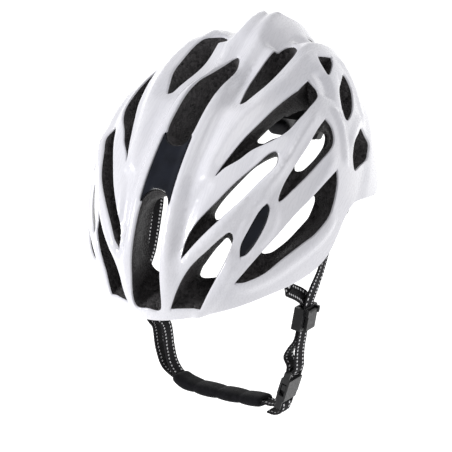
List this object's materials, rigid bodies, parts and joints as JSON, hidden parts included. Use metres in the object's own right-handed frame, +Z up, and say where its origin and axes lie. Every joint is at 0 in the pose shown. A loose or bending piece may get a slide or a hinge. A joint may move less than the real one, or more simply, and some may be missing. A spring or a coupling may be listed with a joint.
{
  "type": "cycling helmet",
  "caption": "Vented road cycling helmet with a white shell over black foam, webbing chin straps with a side-release buckle, and a dial-adjusted headband.",
  "frame": {"origin": "middle of the head opening, at the height of the lower edge behind the ears; the head mount", "axes": "+Z up as worn, -Y toward the front, +X toward the wearer's left"},
  "size_m": [0.2052, 0.2872, 0.232],
  "materials": {
    "shell_white": "gloss white in-mould polycarbonate",
    "foam_black": "matte black expanded polystyrene with bead texture",
    "trim_gloss": "gloss near-black",
    "webbing": "woven black webbing with pale edge stitching",
    "pad_fabric": "matte black brushed fabric over foam",
    "hardware": "satin dark grey acetal"
  },
  "bodies": {
    "helmet": {"outer_shell": "shell_white", "eps_liner": "foam_black", "centre_bridge": "trim_gloss", "side_insert_left": "trim_gloss", "side_insert_right": "trim_gloss", "brow_pad": "pad_fabric", "crown_pad": "pad_fabric", "ridge_pad_left": "pad_fabric", "ridge_pad_right": "pad_fabric", "temple_pad_left": "pad_fabric", "temple_pad_right": "pad_fabric", "front_strap_anchor_left": "hardware", "front_strap_anchor_right": "hardware", "rear_strap_anchor_left": "hardware", "rear_strap_anchor_right": "hardware", "front_strap_left": "webbing", "front_strap_right": "webbing", "rear_strap_left": "webbing", "rear_strap_right": "webbing", "chin_strap": "webbing", "chin_pad": "pad_fabric", "buckle_socket": "hardware", "headband_pin_left": "hardware", "headband_pin_right": "hardware"},
    "cradle": {"headband_arm_left": "hardware", "headband_arm_right": "hardware", "dial_housing": "hardware", "occipital_pad_left": "pad_fabric", "occipital_pad_right": "pad_fabric"},
    "dial": {"dial_knob": "hardware", "dial_pinion": "hardware"},
    "rack_left": {"rack_left": "hardware"},
    "rack_right": {"rack_right": "hardware"},
    "divider_left": {"strap_divider_left": "hardware"},
    "divider_right": {"strap_divider_right": "hardware"},
    "lever_left": {"divider_lever_left": "hardware"},
    "lever_right": {"divider_lever_right": "hardware"},
    "buckle_plug": {"buckle_plug": "hardware"},
    "prong_front": {"buckle_prong_front": "hardware"},
    "prong_rear": {"buckle_prong_rear": "hardware"}
  },
  "joints": [
    {"name": "cradle_tilt", "type": "hinge", "parent": "helmet", "child": "cradle", "pos_m": [0, -0.001, 0.029], "axis": [1, 0, 0], "range_deg": [-10, 0]},
    {"name": "dial_turn", "type": "hinge", "parent": "cradle", "child": "dial", "pos_m": [0, 0.096, -0.017], "axis": [0, -1, 0], "range_deg": [0, 126]},
    {"name": "rack_left_slide", "type": "slide", "parent": "cradle", "child": "rack_left", "axis": [-1, 0, 0], "range_m": [0, 0.0066]},
    {"name": "rack_right_slide", "type": "slide", "parent": "cradle", "child": "rack_right", "axis": [1, 0, 0], "range_m": [0, 0.0066]},
    {"name": "divider_left_slide", "type": "slide", "parent": "helmet", "child": "divider_left", "axis": [-0.1784, -0.6133, -0.7694], "range_m": [0, 0.007]},
    {"name": "divider_right_slide", "type": "slide", "parent": "helmet", "child": "divider_right", "axis": [0.1784, -0.6133, -0.7694], "range_m": [0, 0.007]},
    {"name": "lever_left_turn", "type": "hinge", "parent": "divider_left", "child": "lever_left", "pos_m": [0.07478, -0.06797, -0.03619], "axis": [-0.0011, -0.7818, 0.6235], "range_deg": [0, 70]},
    {"name": "lever_right_turn", "type": "hinge", "parent": "divider_right", "child": "lever_right", "pos_m": [-0.07478, -0.06797, -0.03619], "axis": [-0.0011, 0.7818, -0.6235], "range_deg": [0, 70]},
    {"name": "buckle_release", "type": "slide", "parent": "helmet", "child": "buckle_plug", "axis": [-0.3049, -0.5937, -0.7447], "range_m": [0, 0.02], "deforming": ["chin_strap"]},
    {"name": "prong_front_flex", "type": "hinge", "parent": "buckle_plug", "child": "prong_front", "pos_m": [0.0541, -0.11464, -0.08535], "axis": [-0.9524, 0.1916, 0.2372], "range_deg": [0, 12], "stiffness_Nm_per_rad": 0.2},
    {"name": "prong_rear_flex", "type": "hinge", "parent": "buckle_plug", "child": "prong_rear", "pos_m": [0.05412, -0.10573, -0.09246], "axis": [0.9524, -0.1916, -0.2372], "range_deg": [0, 12], "stiffness_Nm_per_rad": 0.2}
  ],
  "couplings": [
    {"joint": "dial_turn", "follows": "rack_left_slide", "rad_per_m": 333},
    {"joint": "rack_right_slide", "follows": "rack_left_slide", "ratio": 1}
  ]
}
